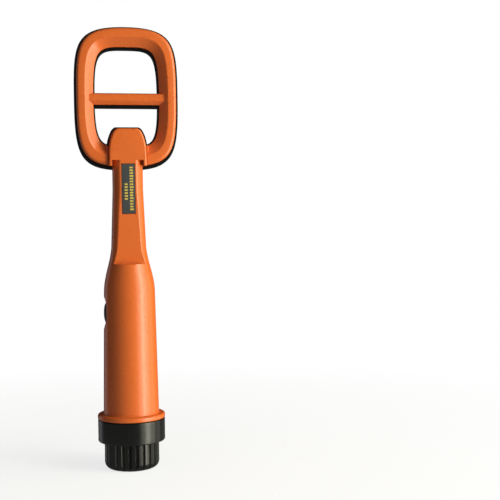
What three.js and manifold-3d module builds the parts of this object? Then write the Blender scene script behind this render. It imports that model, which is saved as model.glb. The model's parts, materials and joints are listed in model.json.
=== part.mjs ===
// A hand-held pinpointer probe: loop head, flat-fronted neck, tubular grip and screw cap.
// Millimetres, +Z up. The probe stands on its cap: the origin is the centre of the cap's flat end,
// the front of the head faces -Y, and the power button is on the -X side.
import * as THREE from 'three';
import { mergeVertices } from 'three/addons/utils/BufferGeometryUtils.js';
import Module from 'manifold-3d';

const wasm = await Module();
wasm.setup();

// ---------------------------------------------------------------- driving dimensions
const GAP = 0.3; // clearance between neighbouring pieces

const cap = {
  knobRadius: 18.75, knobTop: 19, endFillet: 4.8, floor: 3,
  collarRadius: 23, collarTop: 34.2, collarChamfer: 0.8, topChamfer: 0.6, hollowRadius: 16.2,
  threadBore: 20.8, threadFrom: 19.8, sealBore: 21.6, sealFrom: 31.2,
  ribs: 24, grooveRadius: 0.95, grooveOffset: 0.25,
};
const thread = {
  starts: 2, lead: 6, turns: 1, bottom: 22.6, ridgeRadius: 0.7, outerPath: 20.6, innerPath: 19.7,
};
const oRing = { path: 20.1, z: 32.6, halfWidth: 1.15, halfHeight: 0.85 };
const spigot = { bottom: 20.7, radius: 19.5, sealRadius: 18.6, sealFrom: 31.4, sealTo: 33.8 };
const flange = { bottom: 34.5, top: 37.8, radius: 23.15, edge: 1.2 };
const tube = { bottomRadius: 19.05, foot: 0.7, topRadius: 17.5, top: 123 };
const shoulderPull = { low: [16.9, 134], high: [13.2, 141] }; // the shoulder curve's control points
const neck = {
  bottom: 152, bottomRadius: 12, topRadius: 10.45, taperTop: 192, top: 215, flat: 8.8, ledge: 141.1,
};
const bore = {
  batteryRadius: 16.3, step: 95, boardRadius: 15, boardTop: 124, waistRadius: 12.4, waistZ: 132,
  neckRadius: 6.6, neckFrom: 138.6, neckTop: 204.2,
};
const tongue = {
  halfWidth: 13, top: 233.7, topHalf: 6.6, bend: 219, shoulder: 227, ledge: 212, foot: 208.2,
  lapBack: -3.3, back: -0.2, blockBottom: 221.6, blockInset: 0.4, legInner: 10.7,
  blackGrow: 1.5, blackBottom: 220,
};

const head = {
  waist: 253.6,
  orange: { half: 33.9, top: 302.5, bottom: 208 },
  orangeHole: { half: 22.5, top: 289.9, bottom: 221.2 },
  black: { half: 35.6, top: 304.1, bottom: 205.7 },
  blackHole: { half: 21.5, top: 288.8, bottom: 222.1 },
  orangeBack: -0.2, coverFront: 0.8, back: 10.5,
};
// Sections of the head's two rings, as [share of the way inward, y].
const frontSection = [
  [0, -0.2], [0, -3.2], [0.05, -4.7], [0.15, -5.9], [0.3, -6.3], [0.5, -6.2], [0.8, -3.6], [1, -1.6],
  [1, -0.2], [0.84, -0.2], [0.84, -1], [0.5, -3.9], [0.16, -3.9], [0.16, -0.2],
];
const rearSection = [
  [0, 0.8], [0, 7.2], [0.08, 9.4], [0.24, 10.5], [0.76, 10.5], [0.92, 9.4], [1, 7.2], [1, 0.8],
  [0.86, 0.8], [0.86, 8.4], [0.14, 8.4], [0.14, 0.8],
];
const coilSection = [[0.35, 2.2], [0.35, 6.6], [0.39, 7], [0.61, 7], [0.65, 6.6], [0.65, 2.2]];
const gasket = { from: 0.02, to: 0.12 }; // shares of the way inward
const crossbar = {
  bottom: 250.3, top: 257.8, half: 25.6, front: -4.2,
  lowEdge: -1.9, lowRise: 2.6, highEdge: -3.3, highDrop: 0.9,
  blackBottom: 248.5, blackTop: 258.6, blackBack: 9.5, reach: 1.6,
};
const pocket = { half: 9, bottom: 251, top: 256, back: 7.5 }; // hollow behind the crossbar
const footPad = { half: 14.5, top: 226, front: -5, inset: 0.02 };
const leadWay = {
  y: 3.6, gripRadius: 3, coverRadius: 2.4, gasketRadius: 3.3, coverTop: 209.5, ringTop: 213, top: 222,
};

const screw = {
  headRadius: 1.9, headHeight: 1.4, shankRadius: 0.95, recess: 1.7, boltHole: 1.25, tip: -2.6,
  slotHalf: 1.6, slotWidth: 0.5, slotDepth: 0.5,
  crossbarX: 13, crossbarZ: 253.4, tongueX: 6.2, tongueZ: 227,
};
const label = { bottom: 175.4, top: 209.4, width: 8.9, thickness: 0.4, sink: 0.1 };

const button = {
  z: 107.4, dishRadius: 11.4, dishFloor: 16.2, dishRim: 17.9, shankRadius: 6.95, crown: 17.8, edge: 16.3,
  seat: 14.6, flangeRadius: 8.1, flangeThick: 1, stemRadius: 2.4, stemTip: 9.9,
};
const powerSwitch = {
  half: 3, depth: 3.2, wayRadius: 2, wayDepth: 0.9, plungerRadius: 1.7, plungerReach: 2.1,
};
const board = { x: -4, thick: 1.6, halfWidth: 11.6, bottom: 66, top: 127 };
const rail = { inner: 9.9, outer: 12.9, back: -1.6, front: -6.4, top: 125 };
const bulkhead = { bottom: 62.4, top: 64.6, radius: 15.9, wireWay: 3, wireAt: [6, 8.5] };
const guidePlate = {
  outer: -12.1, inner: -10.6, radius: 8.1, hole: 2.8, halfHeight: 4, webInner: 7.4, webOuter: 10.2,
};
const ears = { outer: -11.8, half: 8.6 };
const buzzerCan = { z: 112.5, radius: 6, depth: 4.6, portRadius: 1.1, portFrom: 3.6 };
const motorSize = { radius: 3, length: 12, boreRadius: 0.8, boreFrom: 8, at: [3, -5.6, 84] };
const weight = { radius: 2.7, bottom: 12.4, top: 16, cutFrom: 0.9, shaftRadius: 0.5, shaftFrom: 8.4 };
const battery = { bottom: 8, top: 54.4, width: 26.5, depth: 17.5, corner: 2, postTop: 57, postX: 6.35 };
const post = { plusRadius: 2.9, minusRadius: 3.9, lip: 1, neckIn: 0.4, neckAt: 1.4 };
const snap = { half: [12.5, 6.2], below: 1.2, above: 3.4, socketRadius: 4.5, socketFrom: 3 };
const disc = { bottom: 3.3, top: 5.3, radius: 15.6 };
const pad = { bottom: 5.6, top: 7.7, radius: 15.4, edge: 0.8, edgeRise: 0.6 };

// Boxes on the board's two faces: how far they stand out, then their y and z ranges.
const onBack = {
  coil_connector: { depth: 4.4, y: [-3.6, 3.6], z: [121, 127.1] },
  battery_connector: { depth: 4.4, y: [3, 9.5], z: [67.5, 73.5] },
  coil_driver: { depth: 4.5, y: [3.5, 9.5], z: [96, 105] },
};
const onFront = {
  detector_chip: { depth: 1.2, y: [-4, 4], z: [82, 90] },
  sensing_resistor_block: { depth: 1.4, y: [-5.5, 5.5], z: [71, 74.4] },
};
const capacitors = [{ radius: 4, length: 9, y: -5.4, z: 73 }, { radius: 3, length: 7, y: 6, z: 81 }];

// Centre lines of the four insulated leads.
const lead = {
  radius: 0.6,
  coilStart: [
    [-1.2, 3.4, 210.5], [-1.2, 3.4, 204], [-1.6, 2.4, 185], [-1.4, 1, 160], [-1.8, 0, 140],
    [-0.4, -1.6, 131.6], [-0.4, -1.6, 127.4],
  ],
  coilFinish: [
    [1.2, 3.4, 210.5], [1.2, 3.4, 204], [0.8, 2.4, 185], [1, 1, 160], [0.4, 0.4, 140],
    [-0.4, 1.6, 131.6], [-0.4, 1.6, 127.4],
  ],
  batteryRed: [
    [4.8, 7.2, 59], [6, 8.6, 61.4], [6, 8.6, 65], [3.4, 7.4, 66.2], [0.8, 7.4, 66.4], [-0.6, 7.4, 66.95],
  ],
  batteryBlack: [
    [7.6, 7.2, 58.4], [8, 8.2, 61], [7.6, 8.8, 65], [5, 6, 67.4], [3.4, 4.9, 69], [2.15, 4.9, 69.6],
  ],
};

// ---------------------------------------------------------------- finishes
function finish(color, roughness, metalness = 0) {
  return new THREE.MeshStandardMaterial({ color, roughness, metalness });
}

const ORANGE = finish(0xde6426, 0.42);
const BLACK = finish(0x16181b, 0.5);
const RUBBER = finish(0x101112, 0.7);
const LABEL = finish(0x3c3f43, 0.45);
const STEEL = finish(0xa9adb2, 0.3, 0.9);
const COPPER = finish(0xb4622a, 0.35, 0.9);
const CIRCUIT = finish(0x1e5b38, 0.55);
const CHIP = finish(0x1a1a1c, 0.6);
const NATURAL = finish(0xd8d4c6, 0.6);
const RED = finish(0xb3201c, 0.5);
const BLUE = finish(0x2f5f9c, 0.4);
const FOAM = finish(0x2c2c2e, 0.95);

// ---------------------------------------------------------------- solids and booleans
// Welds a geometry's vertices, drops collapsed triangles and turns its faces outward.
function closed(geometry) {
  geometry.deleteAttribute('normal');
  geometry.deleteAttribute('uv');
  const welded = mergeVertices(geometry, 1e-4);
  const position = welded.attributes.position;
  const index = [];
  let volume = 0;
  const [a, b, c] = [new THREE.Vector3(), new THREE.Vector3(), new THREE.Vector3()];
  for (let i = 0; i < welded.index.count; i += 3) {
    const corners = [0, 1, 2].map((k) => welded.index.getX(i + k));
    if (new Set(corners).size < 3) continue;
    [a, b, c].forEach((point, k) => point.fromBufferAttribute(position, corners[k]));
    volume += a.dot(b.cross(c));
    index.push(...corners);
  }
  if (volume < 0) index.reverse();
  welded.setIndex(index);
  return welded;
}

function toSolid(geometry) {
  return new wasm.Manifold(new wasm.Mesh({
    numProp: 3,
    vertProperties: new Float32Array(geometry.attributes.position.array),
    triVerts: new Uint32Array(geometry.index.array),
  }));
}

function toGeometry(solid) {
  const mesh = solid.getMesh();
  const geometry = new THREE.BufferGeometry();
  geometry.setAttribute('position', new THREE.BufferAttribute(new Float32Array(mesh.vertProperties), 3));
  geometry.setIndex(new THREE.BufferAttribute(new Uint32Array(mesh.triVerts), 1));
  return geometry;
}

const join = (...pieces) => toGeometry(pieces.map(toSolid).reduce((all, next) => all.add(next)));

function cut(base, ...tools) {
  const left = tools.map(toSolid).reduce((rest, tool) => rest.subtract(tool), toSolid(base));
  return toGeometry(left);
}

const common = (base, tool) => toGeometry(toSolid(base).intersect(toSolid(tool)));

// A solid of revolution about Z from [radius, z] points that start and end on the axis
// or close on themselves.
function lathe(profile, segments = 48) {
  const points = profile.map(([radius, z]) => new THREE.Vector2(radius, z));
  return closed(new THREE.LatheGeometry(points, segments).rotateX(Math.PI / 2));
}

function box(low, high) {
  const size = high.map((value, i) => value - low[i]);
  const centre = high.map((value, i) => (value + low[i]) / 2);
  return closed(new THREE.BoxGeometry(...size).translate(...centre));
}

// A cylinder along one axis, between two positions on it, through `at` on the other two axes.
function rod(along, radius, from, to, at = [0, 0], segments = 24) {
  const geometry = new THREE.CylinderGeometry(radius, radius, to - from, segments);
  geometry.translate(0, (from + to) / 2, 0);
  if (along === 'x') geometry.rotateZ(-Math.PI / 2).translate(0, at[0], at[1]);
  if (along === 'y') geometry.translate(at[0], 0, at[1]);
  if (along === 'z') geometry.rotateX(Math.PI / 2).translate(at[0], at[1], 0);
  return closed(geometry);
}

// An XZ outline pushed along Y from `front` to `back`.
function slab(shape, front, back) {
  const settings = { depth: back - front, bevelEnabled: false, curveSegments: 8 };
  return closed(new THREE.ExtrudeGeometry(shape, settings).rotateX(Math.PI / 2).translate(0, back, 0));
}

// The same with its front edge rounded.
function roundedSlab(shape, front, back, round) {
  const settings = {
    depth: back - front - round, curveSegments: 8,
    bevelSize: round, bevelThickness: round, bevelOffset: -round, bevelSegments: 2,
  };
  const whole = closed(new THREE.ExtrudeGeometry(shape, settings).rotateX(Math.PI / 2).translate(0, back, 0));
  const reach = 320;
  return common(whole, box([-reach, -reach, -reach], [reach, back, reach]));
}

function tubeAlong(points, radius, steps = 18) {
  const path = new THREE.CatmullRomCurve3(points.map((point) => new THREE.Vector3(...point)));
  const section = new THREE.Shape().absarc(0, 0, radius, 0, 2 * Math.PI);
  const settings = { steps, extrudePath: path, curveSegments: 3 };
  return closed(new THREE.ExtrudeGeometry(section, settings));
}

class Helix extends THREE.Curve {
  constructor(radius, start) {
    super();
    this.radius = radius;
    this.start = start;
  }

  getPoint(t, target = new THREE.Vector3()) {
    const angle = this.start + 2 * Math.PI * thread.turns * t;
    const z = thread.bottom + thread.lead * thread.turns * t;
    return target.set(this.radius * Math.cos(angle), this.radius * Math.sin(angle), z);
  }
}

// Round-section thread ridges, one helix for each start.
const THREAD_STEPS = 20;

function ridges(radius, phase) {
  const section = new THREE.Shape().absarc(0, 0, thread.ridgeRadius, 0, 2 * Math.PI);
  return Array.from({ length: thread.starts }, (_, i) => {
    const path = new Helix(radius, phase + (2 * Math.PI * i) / thread.starts);
    const settings = { steps: THREAD_STEPS, extrudePath: path, curveSegments: 3 };
    return closed(new THREE.ExtrudeGeometry(section, settings));
  });
}

// ---------------------------------------------------------------- the head's outlines
// Half of a barrel-sided rounded outline, from the middle of its end to its waist.
function halfCurve(outline, end, [fullEnd, fullSide]) {
  const { half } = outline;
  const z = outline[end];
  const sideZ = head.waist + (z - head.waist) * fullSide;
  return new THREE.CubicBezierCurve3(
    new THREE.Vector3(0, 0, z), new THREE.Vector3(half * fullEnd, 0, z),
    new THREE.Vector3(half, 0, sideZ), new THREE.Vector3(half, 0, head.waist),
  );
}

const OUTER_FULLNESS = { top: [1, 0.75], bottom: [0.9, 0.83] };
const HOLE_FULLNESS = { top: [0.855, 1], bottom: [0.815, 1] };
const QUARTER_POINTS = 12;

// The outline's points in order: up the right side, over the top, down the left side and under.
function loop(outline, fullness) {
  const top = halfCurve(outline, 'top', fullness.top).getSpacedPoints(QUARTER_POINTS);
  const bottom = halfCurve(outline, 'bottom', fullness.bottom).getSpacedPoints(QUARTER_POINTS);
  const right = [...bottom, ...top.reverse().slice(1)];
  const left = right.slice(1, -1).reverse().map(({ x, z }) => new THREE.Vector3(-x, 0, z));
  return [...right, ...left];
}

const blend = (outer, inner, share) => outer.map((point, i) => point.clone().lerp(inner[i], share));

// A closed band between two outlines. Each profile entry is [share of the way inward, y].
function band(outer, inner, profile) {
  const count = outer.length;
  const row = ([share, y]) => blend(outer, inner, share).flatMap(({ x, z }) => [x, y, z]);
  const position = profile.flatMap(row);
  const index = [];
  profile.forEach((_, level) => {
    const next = ((level + 1) % profile.length) * count;
    for (let i = 0; i < count; i += 1) {
      const j = (i + 1) % count;
      const [a, b, c, d] = [level * count + i, level * count + j, next + j, next + i];
      index.push(a, b, c, a, c, d);
    }
  });
  const geometry = new THREE.BufferGeometry();
  geometry.setAttribute('position', new THREE.Float32BufferAttribute(position, 3));
  geometry.setIndex(index);
  return closed(geometry);
}

function prism(points, front, back) {
  const shape = new THREE.Shape(points.map(({ x, z }) => new THREE.Vector2(x, z)));
  return slab(shape, front, back);
}

const orangeOuter = loop(head.orange, OUTER_FULLNESS);
const orangeInner = loop(head.orangeHole, HOLE_FULLNESS);
const blackOuter = loop(head.black, OUTER_FULLNESS);
const blackInner = loop(head.blackHole, HOLE_FULLNESS);

// The tombstone outline of the tongue, grown all round by `grow`, down to `bottom`.
const SIDE_DRAFT = 0.3;
const SIDE_LEAN = 1;
const CORNER_REACH = 3.2;
const TOP_INSET = 0.6;

function tongueShape(grow, bottom) {
  const half = tongue.halfWidth + grow;
  const top = tongue.top + grow;
  const topHalf = tongue.topHalf + grow;
  const bend = Math.max(tongue.bend, bottom + 1);
  const { shoulder } = tongue;
  const shape = new THREE.Shape();
  shape.moveTo(-half, bottom);
  shape.lineTo(half, bottom);
  shape.lineTo(half - SIDE_DRAFT, bend);
  shape.bezierCurveTo(half - SIDE_LEAN, shoulder, topHalf + CORNER_REACH, top, topHalf - TOP_INSET, top);
  shape.lineTo(-topHalf + TOP_INSET, top);
  shape.bezierCurveTo(-topHalf - CORNER_REACH, top, -half + SIDE_LEAN, shoulder, -half + SIDE_DRAFT, bend);
  return shape;
}

const screwSpots = [
  [-screw.crossbarX, screw.crossbarZ], [screw.crossbarX, screw.crossbarZ],
  [-screw.tongueX, screw.tongueZ], [screw.tongueX, screw.tongueZ],
];
const coverBackAt = (z) => (z > crossbar.bottom ? crossbar.blackBack : head.back);
const screwHoles = (from, to) => screwSpots.map((at) => rod('y', screw.boltHole, from, to, at, 12));

// ---------------------------------------------------------------- orange mouldings
// The outer wall of the grip: flange, tapered tube, shoulder curve and neck, as [radius, z] points.
function gripWall() {
  const shoulder = new THREE.CubicBezierCurve(
    new THREE.Vector2(tube.topRadius, tube.top), new THREE.Vector2(...shoulderPull.low),
    new THREE.Vector2(...shoulderPull.high), new THREE.Vector2(neck.bottomRadius, neck.bottom),
  );
  return [
    [spigot.radius, spigot.bottom], [spigot.radius, spigot.sealFrom],
    [spigot.sealRadius, spigot.sealFrom], [spigot.sealRadius, spigot.sealTo],
    [spigot.radius, spigot.sealTo], [spigot.radius, flange.bottom],
    [flange.radius - flange.edge, flange.bottom], [flange.radius, flange.bottom + flange.edge],
    [flange.radius, flange.top - flange.edge], [flange.radius - flange.edge, flange.top],
    [tube.bottomRadius + tube.foot, flange.top], [tube.bottomRadius, flange.top + tube.foot],
    ...shoulder.getPoints(7).map(({ x, y }) => [x, y]),
    [neck.topRadius, neck.taperTop], [neck.topRadius, neck.top],
  ];
}

// The hollow inside the grip: battery bay, board bay and the way up the neck.
function gripHollow() {
  const below = spigot.bottom - 1;
  const stepRise = bore.batteryRadius - bore.boardRadius;
  return lathe([
    [0, below], [bore.batteryRadius, below], [bore.batteryRadius, bore.step],
    [bore.boardRadius, bore.step + stepRise], [bore.boardRadius, bore.boardTop],
    [bore.waistRadius, bore.waistZ], [bore.neckRadius, bore.neckFrom],
    [bore.neckRadius, bore.neckTop], [0, bore.neckTop],
  ], 28);
}

// The conical dish the button sits in, about the button's axis.
function buttonDish() {
  const { dishFloor, dishRim, dishRadius, shankRadius } = button;
  const clear = 4;
  const outer = dishRim + clear / 2;
  const dish = lathe([
    [0, dishFloor], [shankRadius + GAP, dishFloor], [dishRadius, dishRim],
    [dishRadius + clear, outer], [0, outer],
  ], 32);
  return dish.rotateY(-Math.PI / 2).translate(0, 0, button.z);
}

function labelRoom() {
  const half = label.width / 2 + GAP;
  const floor = -neck.flat + label.sink + label.thickness + GAP;
  return box([-half, -20, label.bottom - GAP], [half, floor, label.top + GAP]);
}

function gripHousing() {
  const outside = lathe([[0, spigot.bottom], ...gripWall(), [0, neck.top]], 40);
  const flatRoom = box([-40, -60, neck.ledge], [40, -neck.flat, neck.top + 20]);
  const body = join(cut(outside, flatRoom), ...ridges(thread.innerPath, 0));
  const wireWay = rod('z', leadWay.gripRadius, bore.neckTop - 2, leadWay.top, [0, leadWay.y], 16);
  const ringRoom = prism(blend(blackOuter, blackInner, -0.03), tongue.lapBack, 30);
  const neckPart = cut(body, gripHollow(), wireWay, ringRoom);

  const lap = roundedSlab(tongueShape(0, tongue.foot), -neck.flat, tongue.lapBack, 1);
  const underLedge = box([-tongue.legInner, -20, 200], [tongue.legInner, 0, tongue.ledge]);
  const blockShape = tongueShape(-tongue.blockInset, tongue.blockBottom);
  const block = slab(blockShape, -neck.flat + 1, tongue.back);

  const buttonHole = rod('x', button.shankRadius + GAP, -20, -10, [0, button.z], 32);
  const seat = rod('x', button.flangeRadius + GAP, -button.seat, -8, [0, button.z], 32);
  const whole = join(neckPart, cut(lap, underLedge), block);
  return cut(whole, buttonDish(), buttonHole, seat, labelRoom(), ...screwHoles(-5.5, 5));
}

function crossbarFront() {
  const { bottom, top, front, lowEdge, lowRise, highEdge, highDrop, half } = crossbar;
  const section = [
    [head.orangeBack, bottom], [lowEdge, bottom], [front, bottom + lowRise],
    [front, top - highDrop], [highEdge, top], [head.orangeBack, top],
  ];
  const shape = new THREE.Shape(section.map(([y, z]) => new THREE.Vector2(y, z)));
  const bar = new THREE.ExtrudeGeometry(shape, { depth: 2 * half, bevelEnabled: false });
  const across = new THREE.Matrix4().makeBasis(
    new THREE.Vector3(0, 1, 0), new THREE.Vector3(0, 0, 1), new THREE.Vector3(1, 0, 0),
  );
  bar.applyMatrix4(across).translate(-half, 0, 0);
  return closed(bar);
}

function coilRingFront() {
  const ring = band(orangeOuter, orangeInner, frontSection);
  const padBlock = common(
    prism(blend(orangeOuter, orangeInner, footPad.inset), footPad.front, head.orangeBack),
    box([-footPad.half, footPad.front, 200], [footPad.half, head.orangeBack, footPad.top]),
  );
  const padBody = cut(padBlock, prism(orangeInner, -10, 5));
  const lapRoom = slab(tongueShape(GAP, 200), -20, tongue.lapBack + GAP);
  const blockShape = tongueShape(GAP - tongue.blockInset, tongue.blockBottom - tongue.blockInset);
  const blockRoom = slab(blockShape, -20, 5);
  const wireWay = rod('z', leadWay.gripRadius, 200, leadWay.ringTop, [0, leadWay.y], 16);
  const whole = join(ring, crossbarFront(), padBody);
  return cut(whole, lapRoom, blockRoom, wireWay, ...screwHoles(-3, 5));
}

// ---------------------------------------------------------------- black head parts
function headRearCover() {
  const ring = band(blackOuter, blackInner, rearSection);
  const barHalf = head.blackHole.half + crossbar.reach;
  const bar = box(
    [-barHalf, head.coverFront, crossbar.blackBottom],
    [barHalf, crossbar.blackBack, crossbar.blackTop],
  );
  const barPocket = box([-pocket.half, 0, pocket.bottom], [pocket.half, pocket.back, pocket.top]);
  const tongueWhole = slab(tongueShape(tongue.blackGrow, 214), head.coverFront, head.back);
  const tongueBack = common(tongueWhole, box([-30, 0, tongue.blackBottom], [30, 20, 240]));
  const wireWay = rod('z', leadWay.coverRadius, 200, leadWay.coverTop, [0, leadWay.y], 16);
  const recesses = screwSpots.map(([x, z]) => {
    const floor = coverBackAt(z) - screw.recess;
    return rod('y', screw.headRadius + GAP, floor, head.back + 2, [x, z], 20);
  });
  const whole = join(ring, cut(bar, barPocket), tongueBack);
  return cut(whole, wireWay, ...recesses, ...screwHoles(-1, 20));
}

function headGasket() {
  const bottom = head.orangeBack + GAP;
  const top = head.coverFront - GAP;
  const { from, to } = gasket;
  const strip = band(orangeOuter, orangeInner, [[from, bottom], [from, top], [to, top], [to, bottom]]);
  return cut(strip, rod('z', leadWay.gasketRadius, 200, 211, [0, leadWay.y], 16));
}

const searchCoil = () => band(blackOuter, blackInner, coilSection);

// Pan-head screw that enters from the back, drawn about its own axis with the head's top at y = 0.
function headScrew(length) {
  const { headRadius, headHeight, shankRadius, slotHalf, slotWidth, slotDepth } = screw;
  const panHead = rod('y', headRadius, -headHeight, 0, [0, 0], 20);
  const shank = rod('y', shankRadius, -length, -headHeight + 0.1, [0, 0], 12);
  const slot = box([-slotHalf, -slotDepth, -slotWidth / 2], [slotHalf, 1, slotWidth / 2]);
  const crossSlot = box([-slotWidth / 2, -slotDepth, -slotHalf], [slotWidth / 2, 1, slotHalf]);
  return cut(join(panHead, shank), slot, crossSlot);
}

// ---------------------------------------------------------------- screw cap
function capOutside() {
  const { knobRadius, knobTop, endFillet, collarRadius, collarTop, collarChamfer, topChamfer } = cap;
  const corner = knobRadius - endFillet;
  const fillet = new THREE.Path().absarc(corner, endFillet, endFillet, -Math.PI / 2, 0);
  return lathe([
    [0, 0], ...fillet.getPoints(4).map(({ x, y }) => [x, y]), [knobRadius, knobTop],
    [collarRadius - collarChamfer, knobTop], [collarRadius, knobTop + collarChamfer],
    [collarRadius, collarTop - topChamfer], [collarRadius - topChamfer, collarTop], [0, collarTop],
  ], 48);
}

function capHollow() {
  const above = cap.collarTop + 2;
  const sealLead = cap.sealBore - cap.threadBore;
  return lathe([
    [0, cap.floor], [cap.hollowRadius, cap.floor], [cap.hollowRadius, cap.threadFrom],
    [cap.threadBore, cap.threadFrom], [cap.threadBore, cap.sealFrom - sealLead],
    [cap.sealBore, cap.sealFrom], [cap.sealBore, above], [0, above],
  ], 32);
}

function capShell() {
  const shell = join(cut(capOutside(), capHollow()), ...ridges(thread.outerPath, Math.PI / thread.starts));
  const reach = cap.knobRadius + cap.grooveOffset;
  const grooves = Array.from({ length: cap.ribs }, (_, i) => {
    const angle = (2 * Math.PI * (i + 0.5)) / cap.ribs;
    const at = [reach * Math.cos(angle), reach * Math.sin(angle)];
    return rod('z', cap.grooveRadius, -1, cap.knobTop + 0.02, at, 4);
  });
  return cut(shell, ...grooves);
}

function capORing() {
  const sides = 6;
  const section = Array.from({ length: sides + 1 }, (_, i) => {
    const angle = (2 * Math.PI * (i % sides)) / sides;
    return [oRing.path + oRing.halfWidth * Math.cos(angle), oRing.z + oRing.halfHeight * Math.sin(angle)];
  });
  return lathe(section, 30);
}

function thrustDisc() {
  const { bottom, top, radius } = disc;
  return lathe([[0, bottom], [radius, bottom], [radius, top], [0, top]], 36);
}

function batteryPad() {
  const { bottom, top, radius, edge, edgeRise } = pad;
  return lathe([
    [0, bottom], [radius - edge, bottom], [radius, bottom + edgeRise],
    [radius, top - edgeRise], [radius - edge, top], [0, top],
  ], 36);
}

// ---------------------------------------------------------------- button, board frame and switch
function buttonCap() {
  const { crown, edge, seat, flangeRadius, flangeThick, shankRadius, stemRadius, stemTip } = button;
  const flangeTop = seat - GAP;
  const flangeFoot = flangeTop - flangeThick;
  const profile = [
    [0, stemTip], [stemRadius, stemTip], [stemRadius, flangeFoot], [flangeRadius, flangeFoot],
    [flangeRadius, flangeTop], [shankRadius, flangeTop], [shankRadius, edge],
    [shankRadius * 0.8, edge + (crown - edge) / 2], [shankRadius * 0.45, crown - 0.25], [0, crown],
  ];
  return lathe(profile, 32).rotateY(-Math.PI / 2);
}

// A pair of boxes, one on each side of the XZ plane, between two distances from it.
function mirroredBoxes([x0, x1], [near, far], [z0, z1]) {
  return [box([x0, near, z0], [x1, far, z1]), box([x0, -far, z0], [x1, -near, z1])];
}

function boardFrame() {
  const { outer, inner, radius, hole, halfHeight, webInner, webOuter } = guidePlate;
  const plateZ = [button.z - halfHeight, button.z + halfHeight];
  const base = rod('z', bulkhead.radius, bulkhead.bottom, bulkhead.top, [0, 0], 36);
  const railZ = [bulkhead.top - 0.5, rail.top];
  const rails = mirroredBoxes([rail.front, rail.back], [rail.inner, rail.outer], railZ);
  const webs = mirroredBoxes([inner - 0.1, rail.front + 0.1], [webInner, webOuter], plateZ);
  const guide = rod('x', radius, outer, inner, [0, button.z], 32);
  const earBar = box([ears.outer, -ears.half, plateZ[0]], [inner, ears.half, plateZ[1]]);

  const boardWay = board.halfWidth + GAP;
  const slot = box(
    [board.x - board.thick / 2 - GAP, -boardWay, bulkhead.top + 1],
    [board.x + board.thick / 2 + GAP, boardWay, board.top + 5],
  );
  const wireWay = rod('z', bulkhead.wireWay, bulkhead.bottom - 1, bulkhead.top + 1, bulkhead.wireAt, 16);
  const stemWay = rod('x', hole, -20, -9, [0, button.z], 20);
  return cut(join(base, ...rails, ...webs, guide, earBar), slot, wireWay, stemWay);
}

// ---------------------------------------------------------------- board parts
const boardFront = board.x - board.thick / 2 - GAP;
const boardBack = board.x + board.thick / 2 + GAP;
const mainBoard = () => box(
  [board.x - board.thick / 2, -board.halfWidth, board.bottom],
  [board.x + board.thick / 2, board.halfWidth, board.top],
);
const backBox = ({ depth, y, z }) => box([boardBack, y[0], z[0]], [boardBack + depth, y[1], z[1]]);
const frontBox = ({ depth, y, z }) => box([boardFront - depth, y[0], z[0]], [boardFront, y[1], z[1]]);

function switchBody() {
  const { half, depth, wayRadius, wayDepth } = powerSwitch;
  const body = box([boardFront - depth, -half, button.z - half], [boardFront, half, button.z + half]);
  return cut(body, rod('x', wayRadius, -9, boardFront - wayDepth, [0, button.z], 16));
}

function switchPlunger() {
  const { plungerRadius, plungerReach } = powerSwitch;
  return rod('x', plungerRadius, -button.stemTip + GAP, boardFront - plungerReach, [0, 0], 16);
}

function buzzer() {
  const { radius, depth, portRadius, portFrom } = buzzerCan;
  const can = rod('x', radius, boardBack, boardBack + depth, [0, 0], 32);
  return cut(can, rod('x', portRadius, boardBack + portFrom, boardBack + depth + 1, [0, 0], 12));
}

function motorCan() {
  const { radius, length, boreRadius, boreFrom } = motorSize;
  return cut(rod('z', radius, 0, length), rod('z', boreRadius, boreFrom, length + 1, [0, 0], 12));
}

// Half-disc weight with its shaft, turning in the can's hole.
function motorWeight() {
  const { radius, bottom, top, cutFrom, shaftRadius, shaftFrom } = weight;
  const away = box([-radius - 1, cutFrom, bottom - 1], [radius + 1, radius + 1, top + 1]);
  const half = cut(rod('z', radius, bottom, top), away);
  return join(half, rod('z', shaftRadius, shaftFrom, bottom + 0.6, [0, 0], 10));
}

// ---------------------------------------------------------------- battery and its connector
function batteryCell() {
  const { width, depth, corner, bottom, top } = battery;
  const [w, d] = [width / 2 - corner, depth / 2 - corner];
  const quarter = Math.PI / 2;
  const shape = new THREE.Shape();
  shape.absarc(w, -d, corner, -quarter, 0);
  shape.absarc(w, d, corner, 0, quarter);
  shape.absarc(-w, d, corner, quarter, 2 * quarter);
  shape.absarc(-w, -d, corner, 2 * quarter, 3 * quarter);
  const settings = { depth: top - bottom, bevelEnabled: false, curveSegments: 3 };
  return closed(new THREE.ExtrudeGeometry(shape, settings));
}

function terminal(radius) {
  const height = battery.postTop - battery.top - GAP;
  return lathe([
    [0, 0], [radius, 0], [radius, post.lip], [radius - post.neckIn, post.neckAt],
    [radius, height], [0, height],
  ], 20);
}

function snapConnector() {
  const [halfX, halfY] = snap.half;
  const { postTop, postX } = battery;
  const body = box([-halfX, -halfY, postTop - snap.below], [halfX, halfY, postTop + snap.above]);
  const sockets = [-postX, postX].map((x) => {
    return rod('z', snap.socketRadius, postTop - snap.socketFrom, postTop + GAP, [x, 0], 20);
  });
  return cut(body, ...sockets);
}

// ---------------------------------------------------------------- assembly
const probe = new THREE.Group();

function add(name, geometry, material, at = [0, 0, 0], parent = probe) {
  const mesh = new THREE.Mesh(geometry, material);
  mesh.name = name;
  mesh.position.set(...at);
  parent.add(mesh);
}

add('grip_housing', gripHousing(), ORANGE);
add('coil_ring_front', coilRingFront(), ORANGE);
add('head_rear_cover', headRearCover(), BLACK);
add('head_gasket', headGasket(), RUBBER);
add('search_coil', searchCoil(), COPPER);

const labelPlate = box(
  [-label.width / 2, 0, label.bottom], [label.width / 2, label.thickness, label.top],
);
add('label_plate', labelPlate, LABEL, [0, -neck.flat + label.sink, 0]);

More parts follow.
